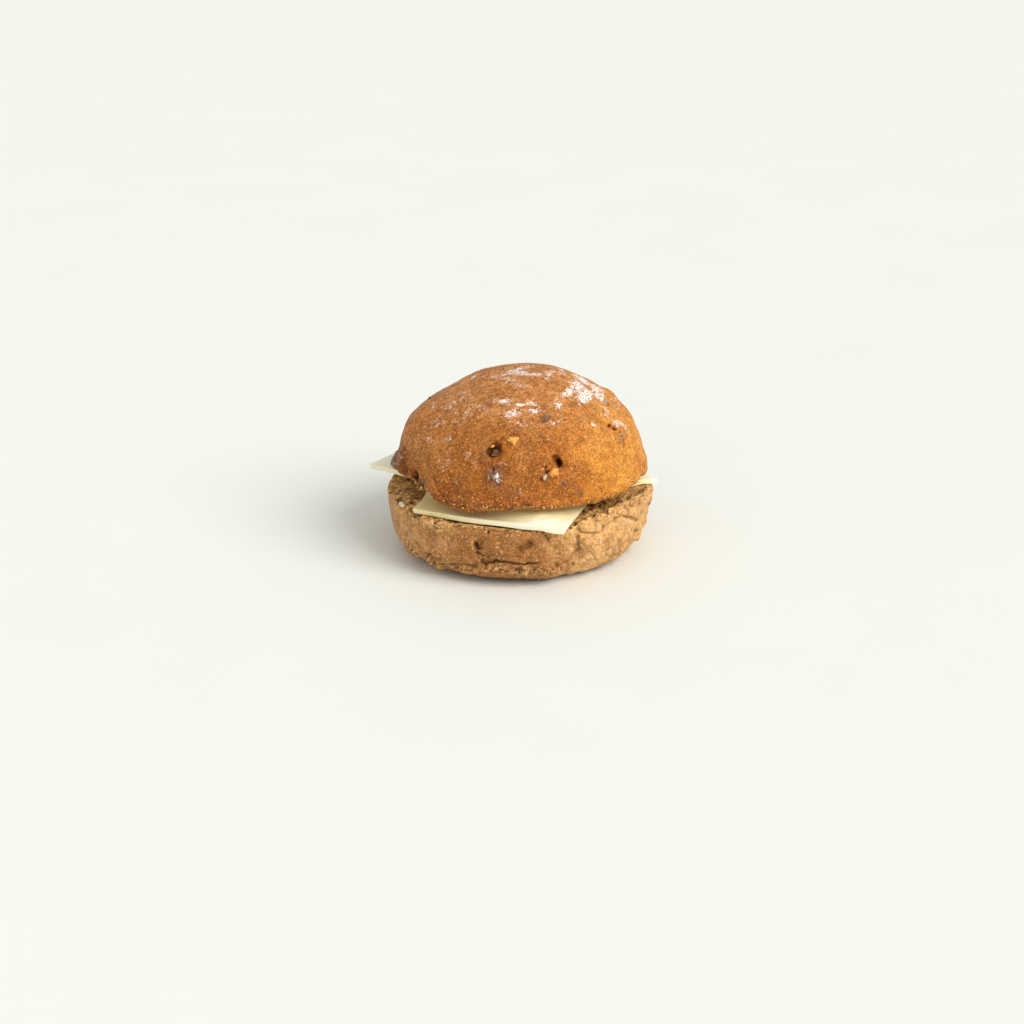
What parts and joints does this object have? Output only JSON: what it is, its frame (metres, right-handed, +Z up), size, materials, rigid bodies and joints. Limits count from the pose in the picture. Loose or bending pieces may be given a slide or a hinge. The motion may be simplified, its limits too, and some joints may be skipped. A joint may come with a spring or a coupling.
{
  "type": "cheese bread roll",
  "caption": "Round browned walnut roll cut across into heel and crown, with overlapping thin cheese slices held between the halves.",
  "frame": {"origin": "centre of the flat underside of the roll's heel", "axes": "+Z up through the stack of heel, slices and crown; -Y towards the side the picture is taken from; +X to the right in the picture"},
  "size_m": [0.1029, 0.1039, 0.0633],
  "materials": {
    "heel_crust": "matt pale brown crust",
    "crown_crust": "matt red-brown crust dusted with flour",
    "cheese": "satin pale ivory cheese"
  },
  "bodies": {
    "root": {"roll_heel": "heel_crust", "cheese_rear": "cheese", "cheese_front": "cheese", "roll_crown": "crown_crust"}
  },
  "joints": []
}
